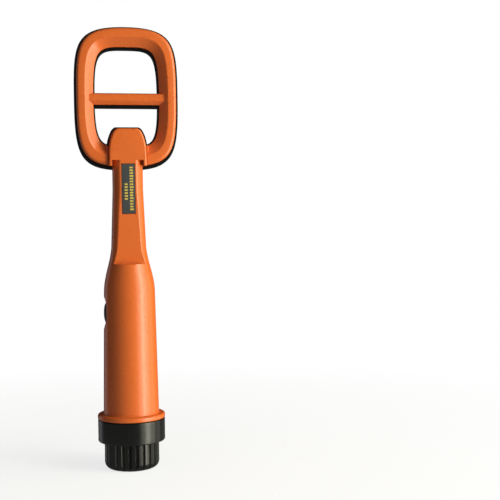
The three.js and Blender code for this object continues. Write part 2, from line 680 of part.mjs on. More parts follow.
screwSpots.forEach(([x, z], i) => {
  const top = coverBackAt(z) - screw.recess + screw.headHeight + GAP;
  add(`head_screw_${i + 1}`, headScrew(top - screw.tip), STEEL, [x, top, z]);
});

add('coil_lead_start', tubeAlong(lead.coilStart, lead.radius), RED);
add('coil_lead_finish', tubeAlong(lead.coilFinish, lead.radius), CHIP);

add('board_frame', boardFrame(), NATURAL);
add('main_board', mainBoard(), CIRCUIT);
add('coil_connector', backBox(onBack.coil_connector), NATURAL);
add('battery_connector', backBox(onBack.battery_connector), NATURAL);
add('coil_driver', backBox(onBack.coil_driver), CHIP);
add('detector_chip', frontBox(onFront.detector_chip), CHIP);
add('sensing_resistor_block', frontBox(onFront.sensing_resistor_block), CHIP);
capacitors.forEach(({ radius, length, y, z }, i) => {
  const sleeve = rod('x', radius, boardBack, boardBack + length, [0, 0], 20);
  add(`filter_capacitor_${i + 1}`, sleeve, BLUE, [0, y, z]);
});
add('buzzer', buzzer(), CHIP, [0, 0, buzzerCan.z]);

const [motorOut, motorY, motorZ] = motorSize.at;
const motor = new THREE.Group();
motor.position.set(boardBack + motorOut, motorY, motorZ);
probe.add(motor);
add('vibration_motor', motorCan(), STEEL, [0, 0, 0], motor);
add('vibration_weight', motorWeight(), STEEL, [0, 0, 0], motor);

add('power_switch_body', switchBody(), CHIP);
add('power_switch_plunger', switchPlunger(), NATURAL, [0, 0, button.z]);
add('button_cap', buttonCap(), RUBBER, [0, 0, button.z]);

add('battery', batteryCell(), STEEL, [0, 0, battery.bottom]);
add('battery_terminal_plus', terminal(post.plusRadius), STEEL, [-battery.postX, 0, battery.top + GAP]);
add('battery_terminal_minus', terminal(post.minusRadius), STEEL, [battery.postX, 0, battery.top + GAP]);
add('snap_connector', snapConnector(), CHIP);
add('battery_lead_red', tubeAlong(lead.batteryRed, lead.radius), RED);
add('battery_lead_black', tubeAlong(lead.batteryBlack, lead.radius), CHIP);

add('battery_pad', batteryPad(), FOAM);
add('thrust_disc', thrustDisc(), NATURAL);
add('cap_o_ring', capORing(), RUBBER);
add('cap_shell', capShell(), BLACK);

export default probe;
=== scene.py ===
"""Looks of the pinpointer probe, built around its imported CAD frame. Shapes are in millimetres."""
import json
import math

import bmesh
import bpy
import numpy as np
from mathutils import Matrix, Vector


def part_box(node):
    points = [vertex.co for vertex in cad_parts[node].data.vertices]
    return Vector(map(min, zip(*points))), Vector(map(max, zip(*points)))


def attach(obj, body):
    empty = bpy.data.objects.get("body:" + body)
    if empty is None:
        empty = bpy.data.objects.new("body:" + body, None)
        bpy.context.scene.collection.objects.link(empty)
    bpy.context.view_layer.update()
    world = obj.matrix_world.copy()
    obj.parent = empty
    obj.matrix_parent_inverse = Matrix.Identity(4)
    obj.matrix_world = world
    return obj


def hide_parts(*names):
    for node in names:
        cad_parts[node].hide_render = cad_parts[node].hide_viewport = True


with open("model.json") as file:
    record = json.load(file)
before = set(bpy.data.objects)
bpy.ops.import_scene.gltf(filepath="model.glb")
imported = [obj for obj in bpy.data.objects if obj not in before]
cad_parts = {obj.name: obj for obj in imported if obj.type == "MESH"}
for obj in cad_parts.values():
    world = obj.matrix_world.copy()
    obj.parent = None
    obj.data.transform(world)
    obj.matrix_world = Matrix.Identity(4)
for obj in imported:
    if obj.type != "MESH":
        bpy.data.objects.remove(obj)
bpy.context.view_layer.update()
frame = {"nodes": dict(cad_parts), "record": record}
MM = 0.001


# ------------------------------------------------------------------ sizes, taken from the frame
def box_mm(node):
    low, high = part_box(node)
    return np.array(low) / MM, np.array(high) / MM


cover_low, cover_high = box_mm("head_rear_cover")
ring_low, ring_high = box_mm("coil_ring_front")
grip_low, grip_high = box_mm("grip_housing")
cap_high = box_mm("cap_shell")[1]
button_low, button_high = box_mm("button_cap")
plate_low, plate_high = box_mm("label_plate")
screw_boxes = {i: box_mm(f"head_screw_{i}") for i in (1, 2, 3, 4)}

GAP = 0.3  # clearance between neighbouring pieces
BEYOND = 20  # how far a cutting tool reaches, well past what it cuts

# loop head: (bottom, top) heights and (side, top, bottom) insets
WAIST = 253.6  # height where the loop head is widest
HOLE_INSET = {"orange": (11.4, 12.6, 13.2), "black": (14.1, 15.3, 16.4)}
CROSSBAR = (250.3, 257.8)
CROSSBAR_FRONT = -4.2
CROSSBAR_HALF = 26.2
PAD_BOX = (14.5, 200, 226)  # half width, bottom and top of the solid part of the ring behind the tongue
BLACK_BAR = (248.5, 258.6)
BAR_HOLLOW = ((-9, -1, 251), (9, 7.5, 256))  # hollow in the front of the black crossbar
BLACK_GROW = 1.5  # how far the rear cover stands out round the tongue
COVER_TONGUE_BOTTOM = 220
COVER_CHANNEL_FLOOR = 8.4
CHANNEL_INSET = (1.8, 9.5)  # walls of the coil's channel in the orange ring
CHANNEL_FLOOR = -3.9
RING_CREST_INSET = 5.7
SCREW_HOLE_RADIUS = 1.25
SCREW_HEAD_HEIGHT = 1.4
RECESS_RADIUS = 2.2
SEAL_INSET = (0.3, 1.4)
SEAL_OVERLAP = 0.05
LEAD_WAY_Y = 3.6  # the coil's leads come down the neck behind its axis

# tongue of the grip, which laps over the head
TONGUE_TOP = grip_high[2]
TONGUE_HALF = 13.0
TONGUE_TOP_HALF = 6.6
TONGUE_LEDGE = 212.0
TONGUE_FOOT = 208.2
TONGUE_BEND = 219.0
TONGUE_SHOULDER = 227
TONGUE_EDGE = 1.3
LEDGE_HALF = 10.7
LAP_BACK = -3.3

# grip: (radius, height) points, from the spigot up to the neck
NECK_FLAT = 8.8
NECK_LEDGE = 141.1
SPIGOT_RADIUS = 19.5
SEAL_GROOVE = (31.4, 33.8)
SEAL_GROOVE_RADIUS = 18.6
FLANGE_RADIUS = grip_high[0]
FLANGE = (34.5, 37.8)
TUBE_BOTTOM_RADIUS = 19.05
TUBE_TOP = (17.5, 123.0)
SHOULDER_PULLS = ((16.9, 134), (13.2, 141))
NECK_BOTTOM = (12.0, 152.0)
NECK_TOP = (10.45, 192.0)
GRIP_SKIN_TOP = 215.0
BATTERY_BORE = (16.3, 18, 95)  # radius, bottom, top
BOARD_BORE = (15, 96.3, 124)
NECK_BORE = (6.6, 138.6, 204.2)

# screw cap and thread
COLLAR_RADIUS = cap_high[0]
COLLAR_TOP = cap_high[2]
KNOB_RADIUS = 18.75
KNOB_TOP = 19.0
KNOB_FILLET = 4.8
RIBS = 24
RIB_GROOVE = 1.05
RIB_GROOVE_HALF = 0.85
RIB_CROWN = 0.07
RIB_FADE = (16.6, 1.4)  # the grooves begin at this radius and are full after this much more
CAP_BORE = (20.8, 19.8)  # radius and bottom of the bore round the spigot
CAP_MOUTH = (21.6, 31.2)  # radius and bottom of the wider mouth round the seal
KNOB_BORE = (16.2, 3)  # radius and floor
THREAD_LEAD = 6.0
THREAD_BOTTOM = 22.6
THREAD_SECTION = 0.7
SPIGOT_THREAD_RADIUS = 19.7
CAP_THREAD_RADIUS = 20.6

# push button; distances are from the grip's axis
BUTTON_Z = (button_low[2] + button_high[2]) / 2
BUTTON_CROWN = -button_low[0]
BUTTON_RADIUS = 6.95
BUTTON_FLANGE = (8.1, 13.3, 14.3)  # radius, inner and outer face
BUTTON_STEM = (2.4, 9.9)  # radius, inner end
BUTTON_SHOULDER = 16.0
BUTTON_HOLE_RADIUS = 7.25
BUTTON_SEAT = (8.4, 12, 14.6)  # radius, inner and outer face of the room for the flange
DISH_FLOOR = 16.2
DISH_RADII = (9.7, 11.3, 13.5)  # at its floor, at its lip and outside the tube

# plate on the neck: (first, step, length) of each row of bars
LONG_ROW = (2.4, 1.9, 1.15)
SHORT_ROW = (9.5, 2.0, 1.2)
BAR_PROUD = 0.02
BAR_ROOT = 0.1


# ------------------------------------------------------------------ mesh helpers
SAME_POINT = 1e-7  # metres
LONGEST_ARC = 0.49  # share of a side that one rounded corner may take


def new_object(name, vertices, faces):
    """A mesh object from points in millimetres, with its faces turned outward."""
    mesh = bpy.data.meshes.new(name)
    mesh.from_pydata([tuple(v) for v in np.asarray(vertices) * MM], [], faces)
    work = bmesh.new()
    work.from_mesh(mesh)
    bmesh.ops.remove_doubles(work, verts=work.verts, dist=SAME_POINT)
    bmesh.ops.recalc_face_normals(work, faces=work.faces)
    work.to_mesh(mesh)
    work.free()
    obj = bpy.data.objects.new(name, mesh)
    bpy.context.scene.collection.objects.link(obj)
    return obj


def skin(name, rows, closed=False):
    """A surface over rows of points that each run once round; open ends are filled."""
    rows = np.asarray(rows, float)
    count, around = rows.shape[:2]
    faces = []
    for i in range(count if closed else count - 1):
        low, high = i * around, ((i + 1) % count) * around
        for j in range(around):
            k = (j + 1) % around
            faces.append((low + j, low + k, high + k, high + j))
    if not closed:
        faces.append(tuple(range(around))[::-1])
        faces.append(tuple((count - 1) * around + j for j in range(around)))
    return new_object(name, rows.reshape(-1, 3), faces)


def rounded(corners, closed=True, steps=6):
    """A 2-D path through (a, b, radius) corners, each corner turned with an arc of that radius."""
    points = []
    count = len(corners)
    for i, (a, b, radius) in enumerate(corners):
        here = np.array([a, b], float)
        if radius == 0 or (not closed and i in (0, count - 1)):
            points.append(here)
            continue
        before = np.array(corners[i - 1][:2], float) - here
        after = np.array(corners[(i + 1) % count][:2], float) - here
        before_length, after_length = np.linalg.norm(before), np.linalg.norm(after)
        before, after = before / before_length, after / after_length
        half = math.acos(np.clip(before @ after, -1, 1)) / 2
        shorter = min(before_length * LONGEST_ARC, after_length * LONGEST_ARC)
        reach = min(radius / math.tan(half), shorter)
        arc = reach * math.tan(half)
        middle = before + after
        centre = here + middle / np.linalg.norm(middle) * arc / math.sin(half)
        start, end = here + before * reach - centre, here + after * reach - centre
        first = math.atan2(start[1], start[0])
        turn = (math.atan2(end[1], end[0]) - first + math.pi) % (2 * math.pi) - math.pi
        for k in range(steps + 1):
            angle = first + turn * k / steps
            points.append(centre + arc * np.array([math.cos(angle), math.sin(angle)]))
    return np.array(points)


def turned(name, profile, segments=128, axis="z", at=(0, 0, 0)):
    """A turned solid: profile points are (radius, height); both ends lie on the axis or it closes."""
    angles = np.linspace(0, 2 * math.pi, segments, endpoint=False)
    rows = []
    for radius, height in profile:
        level = np.full(segments, height)
        rows.append(np.stack([radius * np.cos(angles), radius * np.sin(angles), level], 1))
    rows = np.array(rows)
    if axis == "x":
        rows = rows[:, :, [2, 0, 1]]
    if axis == "y":
        rows = rows[:, :, [1, 2, 0]]
    rows = rows + np.array(at)
    closes = profile[0][0] > 0 and profile[-1][0] > 0
    return skin(name, rows, closed=closes)


def block(name, low, high):
    (x0, y0, z0), (x1, y1, z1) = low, high
    rows = [[(x0, y0, z), (x1, y0, z), (x1, y1, z), (x0, y1, z)] for z in (z0, z1)]
    return skin(name, rows)


def combine(piece, others, operation):
    """Cuts the piece by the others one after another, or joins or intersects it; the others are removed."""
    for other in others:
        modifier = piece.modifiers.new("combine", "BOOLEAN")
        modifier.operation = operation
        modifier.solver = "EXACT"
        modifier.object = other
    bpy.context.view_layer.update()
    solved = piece.evaluated_get(bpy.context.evaluated_depsgraph_get())
    mesh = bpy.data.meshes.new_from_object(solved)
    piece.modifiers.clear()
    piece.data = mesh
    for other in others:
        bpy.data.objects.remove(other)
    return piece


def smooth(piece, degrees=32):
    piece.data.shade_smooth()
    piece.data.set_sharp_from_angle(angle=math.radians(degrees))
    return piece


# ------------------------------------------------------------------ outlines of the head
QUARTER = 44  # steps along a quarter of the loop
CURVE_SAMPLES = 400


def bezier(points, t):
    a, b, c, d = (np.array(p, float) for p in points)
    t = t[:, None]
    return (1 - t) ** 3 * a + 3 * (1 - t) ** 2 * t * b + 3 * (1 - t) * t**2 * c + t**3 * d


def even(points, count):
    """Points re-spaced to equal steps along their path."""
    steps = np.linalg.norm(np.diff(points, axis=0), axis=1)
    along = np.concatenate([[0], np.cumsum(steps)])
    want = np.linspace(0, along[-1], count)
    return np.stack([np.interp(want, along, points[:, i]) for i in range(points.shape[1])], 1)


def half_curve(half, end, full_end, full_side):
    side = WAIST + (end - WAIST) * full_side
    corners = [(0, end), (half * full_end, end), (half, side), (half, WAIST)]
    return even(bezier(corners, np.linspace(0, 1, CURVE_SAMPLES)), QUARTER + 1)


OUTER_FULLNESS = ((1.0, 0.75), (0.9, 0.83))  # of the top half and the bottom half
HOLE_FULLNESS = ((0.855, 1.0), (0.815, 1.0))


def loop(half, top, bottom, fullness):
    """Barrel-sided outline as (x, z) points, from the bottom's middle up the right side and round."""
    upper = half_curve(half, top, *fullness[0])
    lower = half_curve(half, bottom, *fullness[1])
    right = np.concatenate([lower, upper[::-1][1:]])
    left = right[1:-1][::-1] * np.array([-1, 1])
    return np.concatenate([right, left])


def outlines(low, high, insets):
    side, top, bottom = insets
    outer = loop(high[0], high[2], low[2], OUTER_FULLNESS)
    inner = loop(high[0] - side, high[2] - top, low[2] + bottom, HOLE_FULLNESS)
    return outer, inner


orange_outer, orange_inner = outlines(ring_low, ring_high, HOLE_INSET["orange"])
black_outer, black_inner = outlines(cover_low, cover_high, HOLE_INSET["black"])


def band(name, outer, inner, profile, width):
    """A band between two outlines; profile points are (distance inward, y) for a band of that width."""
    rows = []
    for inward, y in profile:
        flat = outer + (inner - outer) * (inward / width)
        rows.append(np.stack([flat[:, 0], np.full(len(flat), y), flat[:, 1]], 1))
    return skin(name, rows, closed=True)


def tombstone(grow, bottom=TONGUE_FOOT, count=30):
    """The tongue's outline, grown all round, as (x, z) points."""
    half = TONGUE_HALF + grow
    top = TONGUE_TOP + grow
    top_half = TONGUE_TOP_HALF + grow
    low_end = (half - 0.3, max(TONGUE_BEND, bottom + 1))
    top_end = (top_half - 0.6, top)
    corners = [low_end, (half - 1, TONGUE_SHOULDER), (top_half + 3.2, top), top_end]
    corner = bezier(corners, np.linspace(0, 1, count))
    across = np.linspace(top_end, (0, top), 6)[1:]
    side = np.linspace((half, bottom), low_end, 6)[:-1]
    right = np.concatenate([side, corner, across])
    return np.concatenate([right, right[:-1][::-1] * np.array([-1, 1])])


def grown(outer, inner, share):
    """The outer outline moved outward by a share of the band's width."""
    return outer + (inner - outer) * -share


def slab(name, outline_at):
    """A solid over (outline, y) pairs from front to back."""
    rows = [np.stack([flat[:, 0], np.full(len(flat), y), flat[:, 1]], 1) for flat, y in outline_at]
    return skin(name, rows)


# ------------------------------------------------------------------ materials
MOTTLE_SCALE = 90
MOTTLE_DARK = 0.97
RUB_SCALE = 160
RUB_RANGE = (-0.02, 0.025)  # roughness below and above the stated one
GRAIN_SCALE = 2600
GRAIN_DEPTH = 0.000005  # metres
GRAIN_STRENGTH = 0.35
WIRE_SCALE = 900
WIRE_DEPTH = 0.0001


def node_material(name):
    material = bpy.data.materials.new(name)
    material.use_nodes = True
    tree = material.node_tree
    shader = tree.nodes["Principled BSDF"]
    return material, tree, shader


def add_node(tree, kind, **values):
    node = tree.nodes.new(kind)
    for key, value in values.items():
        setattr(node, key, value)
    return node


def noise(tree, coordinates, scale, detail=4.0):
    texture = add_node(tree, "ShaderNodeTexNoise")
    texture.inputs["Scale"].default_value = scale
    texture.inputs["Detail"].default_value = detail
    tree.links.new(coordinates.outputs["Object"], texture.inputs["Vector"])
    return texture.outputs["Fac"]


def mapped(tree, source, low, high, start=0.3, stop=0.7):
    node = add_node(tree, "ShaderNodeMapRange")
    for socket, value in zip(("From Min", "From Max", "To Min", "To Max"), (start, stop, low, high)):
        node.inputs[socket].default_value = value
    tree.links.new(source, node.inputs["Value"])
    return node.outputs["Result"]


def two_tone(tree, source, first, second):
    mix = add_node(tree, "ShaderNodeMix", data_type="RGBA")
    mix.inputs["A"].default_value = (*first, 1)
    mix.inputs["B"].default_value = (*second, 1)
    tree.links.new(source, mix.inputs["Factor"])
    return mix.outputs["Result"]


def moulded(name, color, roughness, grain=1.0, metallic=0.0, specular=0.5, edge=0.00022):
    """Injection-moulded or metal surface: fine grain, faint mottling, rubbed roughness, soft edges."""
    material, tree, shader = node_material(name)
    place = add_node(tree, "ShaderNodeTexCoord")
    shader.inputs["Metallic"].default_value = metallic
    shader.inputs["Specular IOR Level"].default_value = specular
    mottling = mapped(tree, noise(tree, place, MOTTLE_SCALE), 0.0, 1.0)
    darker = tuple(c * MOTTLE_DARK for c in color)
    tree.links.new(two_tone(tree, mottling, darker, color), shader.inputs["Base Color"])
    smoother, rougher = roughness + RUB_RANGE[0], roughness + RUB_RANGE[1]
    rubbed = mapped(tree, noise(tree, place, RUB_SCALE, 6), smoother, rougher)
    tree.links.new(rubbed, shader.inputs["Roughness"])
    rounding = add_node(tree, "ShaderNodeBevel", samples=6)
    rounding.inputs["Radius"].default_value = edge
    bump = add_node(tree, "ShaderNodeBump")
    bump.inputs["Strength"].default_value = GRAIN_STRENGTH
    bump.inputs["Distance"].default_value = GRAIN_DEPTH * grain
    tree.links.new(noise(tree, place, GRAIN_SCALE, 3), bump.inputs["Height"])
    tree.links.new(rounding.outputs["Normal"], bump.inputs["Normal"])
    tree.links.new(bump.outputs["Normal"], shader.inputs["Normal"])
    return material


def wound(name):
    """Enamelled copper wire laid side by side."""
    material, tree, shader = node_material(name)
    place = add_node(tree, "ShaderNodeTexCoord")
    shader.inputs["Metallic"].default_value = 0.9
    tone = mapped(tree, noise(tree, place, 300), 0.0, 1.0)
    copper = two_tone(tree, tone, (0.36, 0.12, 0.035), (0.55, 0.21, 0.07))
    tree.links.new(copper, shader.inputs["Base Color"])
    shader.inputs["Roughness"].default_value = 0.3
    wires = add_node(tree, "ShaderNodeTexWave", bands_direction="Y")
    wires.inputs["Scale"].default_value = WIRE_SCALE
    tree.links.new(place.outputs["Object"], wires.inputs["Vector"])
    bump = add_node(tree, "ShaderNodeBump")
    bump.inputs["Distance"].default_value = WIRE_DEPTH
    tree.links.new(wires.outputs["Fac"], bump.inputs["Height"])
    tree.links.new(bump.outputs["Normal"], shader.inputs["Normal"])
    return material


MATERIALS = {
    "orange_plastic": moulded("orange_abs", (0.72, 0.144, 0.026), 0.28, specular=0.5),
    "black_plastic": moulded("black_abs", (0.001, 0.0012, 0.0014), 0.25, specular=0.45),
    "black_rubber": moulded("black_rubber", (0.002, 0.002, 0.0025), 0.42, grain=1.6, specular=0.2),
    "label": moulded("label_film", (0.045, 0.05, 0.055), 0.4, grain=0.6),
    "steel": moulded("plated_steel", (0.55, 0.55, 0.57), 0.26, grain=0.5, metallic=1.0),
    "copper": wound("enamelled_copper"),
    "circuit_board": moulded("solder_mask", (0.012, 0.09, 0.035), 0.35, grain=0.8),
    "chip_black": moulded("moulded_epoxy", (0.012, 0.012, 0.014), 0.5),
    "natural_nylon": moulded("natural_nylon", (0.62, 0.58, 0.47), 0.45),
    "capacitor_sleeve": moulded("capacitor_sleeve", (0.015, 0.04, 0.2), 0.3, grain=0.5),
    "red_wire": moulded("red_insulation", (0.4, 0.01, 0.008), 0.35, grain=0.4),
    "battery_wrap": moulded("battery_wrap", (0.4, 0.42, 0.46), 0.3, grain=0.4),
    "foam": moulded("cell_foam", (0.012, 0.012, 0.013), 0.85, grain=6.0),
}
MARKS = moulded("label_ink", (0.62, 0.46, 0.09), 0.45, grain=0.5)


def finish_piece(piece, slot, body, *nodes, angle=32):
    """Shades the piece, gives it its material, hangs it on its body's empty and hides the frame parts that
    it replaces.
    """
    smooth(piece, angle)
    piece.data.materials.clear()
    piece.data.materials.append(MATERIALS[slot])
    if nodes:
        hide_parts(*nodes)
    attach(piece, body)
    return piece


# ------------------------------------------------------------------ orange mouldings
FRONT_COLUMNS, REAR_COLUMNS = 44, 116
CREASE_LIMITS = (0.62, 0.9)  # cosine of the angle where the flat front meets the round back
FLAT_BLEND = 0.5
LEDGE_EDGE = 0.9
LEDGE_CORNER = 0.5
NO_FLAT = 60.0


def neck_ring(radius, z, flat):
    """One level of the grip's skin: a circle whose front is levelled at `flat` in front of the axis."""
    crease = math.acos(min(max(flat / radius, CREASE_LIMITS[0]), CREASE_LIMITS[1]))
    across = np.sin(np.linspace(-1, 1, FRONT_COLUMNS, endpoint=False) * math.pi / 2) * math.sin(crease)
    front = np.arcsin(across)
    share = np.linspace(0, 1, REAR_COLUMNS, endpoint=False)
    share = 0.5 * share + 0.25 * (1 - np.cos(math.pi * share))
    rear = crease + (2 * math.pi - 2 * crease) * share
    angles = np.concatenate([front, rear]) - math.pi / 2
    x, y = radius * np.cos(angles), radius * np.sin(angles)
    ahead = -y
    near = np.clip(FLAT_BLEND - np.abs(ahead - flat), 0, None) / FLAT_BLEND
    level = np.minimum(ahead, flat) - near**2 * FLAT_BLEND / 4
    if flat >= radius + FLAT_BLEND:
        level = ahead
    return np.stack([x, -level, np.full(len(x), z)], 1)


def grip_levels():
    """(radius, z, flat) of every level of the grip's outer skin, from the spigot to the neck's top."""
    groove_bottom, groove_top = SEAL_GROOVE
    up_the_tube = (TUBE_TOP[0] + 0.6, 90, 0)  # only turns the last corner, and is left off
    foot = rounded([
        (SPIGOT_RADIUS, grip_low[2], 0), (SPIGOT_RADIUS, groove_bottom, 0.1),
        (SEAL_GROOVE_RADIUS, groove_bottom, 0.1), (SEAL_GROOVE_RADIUS, groove_top, 0.1),
        (SPIGOT_RADIUS, groove_top, 0.1), (SPIGOT_RADIUS, FLANGE[0], 0.1),
        (FLANGE_RADIUS, FLANGE[0], 0.7), (FLANGE_RADIUS, FLANGE[1], 1.3),
        (TUBE_BOTTOM_RADIUS, FLANGE[1], 0.9), up_the_tube,
    ], closed=False)[:-1]
    tube = np.linspace((TUBE_BOTTOM_RADIUS, FLANGE[1] + 1.2), TUBE_TOP, 24)
    shoulder = bezier([TUBE_TOP, *SHOULDER_PULLS, NECK_BOTTOM], np.linspace(0, 1, 48))[1:]
    neck = np.linspace(NECK_BOTTOM, NECK_TOP, 24)[1:]
    top = np.array([(NECK_TOP[0], z) for z in np.linspace(NECK_TOP[1], GRIP_SKIN_TOP, 12)[1:]])
    wall = np.concatenate([foot, tube, shoulder, neck, top])

    def radius_at(z):
        return float(np.interp(z, shoulder[:, 1], shoulder[:, 0]))

    levels = [(r, z, NO_FLAT) for r, z in wall if z < NECK_LEDGE - LEDGE_EDGE]
    ledge_radius = radius_at(NECK_LEDGE)
    for a in np.linspace(0, math.pi / 2, 7):  # the ledge's rounded front edge
        z = NECK_LEDGE - LEDGE_EDGE + LEDGE_EDGE * math.sin(a)
        flat = ledge_radius + FLAT_BLEND - LEDGE_EDGE * (1 - math.cos(a)) - FLAT_BLEND * math.sin(a)
        levels.append((radius_at(z), z, flat))
    shelf = levels[-1][2]
    for i, depth in enumerate(np.linspace(shelf, NECK_FLAT + LEDGE_CORNER, 8)[1:]):
        levels.append((ledge_radius, NECK_LEDGE + 0.004 * (i + 1), depth))
    for a in np.linspace(0, math.pi / 2, 5)[1:]:  # the soft corner where the ledge meets the flat
        z = NECK_LEDGE + 0.04 + LEDGE_CORNER * (1 - math.cos(a))
        levels.append((radius_at(z), z, NECK_FLAT + LEDGE_CORNER * (1 - math.sin(a))))
    levels += [(r, z, NECK_FLAT) for r, z in wall if z > NECK_LEDGE + LEDGE_CORNER + 0.1]
    return levels


def drilled(front, back):
    """Round cutting tools for the four screws, from y front to y back."""
    profile = [(0, front), (SCREW_HOLE_RADIUS, front), (SCREW_HOLE_RADIUS, back), (0, back)]
    return [turned("drill", profile, 32, "y", (x, 0, z)) for x, z in screw_spots]


def lead_way(bottom, top, radius):
    """Cutting tool for the way that the coil's leads take."""
    profile = [(0, bottom), (radius, bottom), (radius, top), (0, top)]
    return turned("lead_way", profile, 48, "z", (0, LEAD_WAY_Y, 0))


screw_spots = [((low[0] + high[0]) / 2, (low[2] + high[2]) / 2) for low, high in screw_boxes.values()]


def head_room():
    """Two cutting tools that clear the grip's skin away from where the rear cover and the ring lie."""
    cover_outline = grown(black_outer, black_inner, 0.03)
    ring_outline = grown(orange_outer, orange_inner, 0.02)
    joint_front, joint_back, outside = 0.5, 0.7, 30
    behind = slab("behind", [(cover_outline, y) for y in (joint_front, outside)])
    before = slab("before", [(ring_outline, y) for y in (LAP_BACK, joint_back)])
    return [behind, before]


def grip_bore():
    """Cutting tool for the grip's inside: battery, board, shoulder and neck."""
    battery_radius, battery_bottom, battery_top = BATTERY_BORE
    board_radius, board_bottom, board_top = BOARD_BORE
    neck_radius, neck_bottom, neck_top = NECK_BORE
    return turned("bore", rounded([
        (0, battery_bottom, 0), (battery_radius, battery_bottom, 0), (battery_radius, battery_top, 0.3),
        (board_radius, board_bottom, 0.3), (board_radius, board_top, 2), (12.4, 132, 3),
        (neck_radius, neck_bottom, 2), (neck_radius, neck_top, 0), (0, neck_top, 0)], closed=False), 96)


def button_recess():
    """Two cutting tools: the dish round the push button, and its hole with the seat for its flange."""
    floor_radius, lip_radius, mouth_radius = DISH_RADII
    outside = -22
    dish = turned("dish", rounded([
        (0, -DISH_FLOOR, 0), (floor_radius, -DISH_FLOOR, 0.7), (lip_radius, -17.75, 0.4),
        (mouth_radius, outside, 0), (0, outside, 0)], closed=False), 96, "x", (0, 0, BUTTON_Z))
    seat_radius, seat_inner, seat_outer = BUTTON_SEAT
    hole = turned("hole", [
        (0, -BEYOND), (BUTTON_HOLE_RADIUS, -BEYOND), (BUTTON_HOLE_RADIUS, -seat_outer),
        (seat_radius, -seat_outer), (seat_radius, -seat_inner), (0, -seat_inner)],
        96, "x", (0, 0, BUTTON_Z))
    return [dish, hole]


def build_grip():
    grip = skin("grip_shell", [neck_ring(*level) for level in grip_levels()])
    combine(grip, head_room(), "DIFFERENCE")
    front_rows = []
    for a in np.linspace(0, math.pi / 2, 8):
        inward, deeper = TONGUE_EDGE * (1 - math.sin(a)), TONGUE_EDGE * (1 - math.cos(a))
        front_rows.append((tombstone(-inward), -NECK_FLAT + deeper))
    lap = slab("lap", front_rows + [(tombstone(0.3), LAP_BACK)])
    under = block("under", (-LEDGE_HALF, -BEYOND, 200), (LEDGE_HALF, 0, TONGUE_LEDGE))
    combine(lap, [under], "DIFFERENCE")
    step_outline = tombstone(-0.4, 221.6)
    neck_step = slab("tongue_block", [(step_outline, y) for y in (-NECK_FLAT + 1, ring_high[1])])
    combine(grip, [lap, neck_step], "UNION")
    pocket = block("pocket", (plate_low[0] - GAP, -BEYOND, plate_low[2] - GAP),
                   (plate_high[0] + GAP, plate_high[1] + GAP, plate_high[2] + GAP))
    tools = [grip_bore(), *button_recess(), lead_way(202.2, 222, 3), pocket, *drilled(-5.5, 5)]
    combine(grip, tools, "DIFFERENCE")
    return finish_piece(grip, "orange_plastic", "housing", "grip_housing")


def cross_bar(section, half, count):
    """A bar along x over a section of (y, z) points."""
    rows = [np.stack([np.full(len(section), x), section[:, 0], section[:, 1]], 1)
            for x in np.linspace(-half, half, count)]
    return skin("bar", rows)


def build_ring_front():
    crest, back = ring_low[1], ring_high[1]
    width = HOLE_INSET["orange"][0]
    near_wall, far_wall = CHANNEL_INSET
    ring = band("head_ring_front", orange_outer, orange_inner, rounded([
        (0, back, 0.1), (0, crest + 0.15, 2.0), (RING_CREST_INSET, crest, 0.8), (width, -1.6, 0.6),
        (width, back, 0.1), (far_wall, back, 0.1), (far_wall, -1.0, 0.3),
        (RING_CREST_INSET, CHANNEL_FLOOR, 0.3), (near_wall, CHANNEL_FLOOR, 0.3),
        (near_wall, back, 0.1)]), width)
    bottom, top = CROSSBAR
    bar = cross_bar(rounded([
        (back, bottom, 0.1), (-1.9, bottom, 0.5), (CROSSBAR_FRONT, bottom + 2.6, 0.7),
        (CROSSBAR_FRONT, top - 0.9, 0.8), (-3.3, top, 0.5), (back, top, 0.1)]), CROSSBAR_HALF, 40)
    half, low, high = PAD_BOX
    pad_outline = np.array([(-half, low), (half, low), (half, high), (-half, high)], float)
    pad = slab("pad", [(pad_outline, y) for y in (-5, back)])
    inset, reach, ahead = 0.3, 11.1, -6
    inside = band("inside", orange_outer, orange_inner,
                  [(inset, ahead), (inset, back), (reach, back), (reach, ahead)], width)
    combine(pad, [inside], "INTERSECT")
    combine(ring, [bar, pad], "UNION")
    lap_room = slab("lap_room", [(tombstone(0.45, 200), y) for y in (-BEYOND, LAP_BACK + GAP)])
    block_room = slab("block_room", [(tombstone(-0.1, 221.2), y) for y in (-BEYOND, 5)])
    combine(ring, [lap_room, block_room, lead_way(200, 213, 3), *drilled(-3, 5)], "DIFFERENCE")
    return finish_piece(ring, "orange_plastic", "housing", "coil_ring_front")


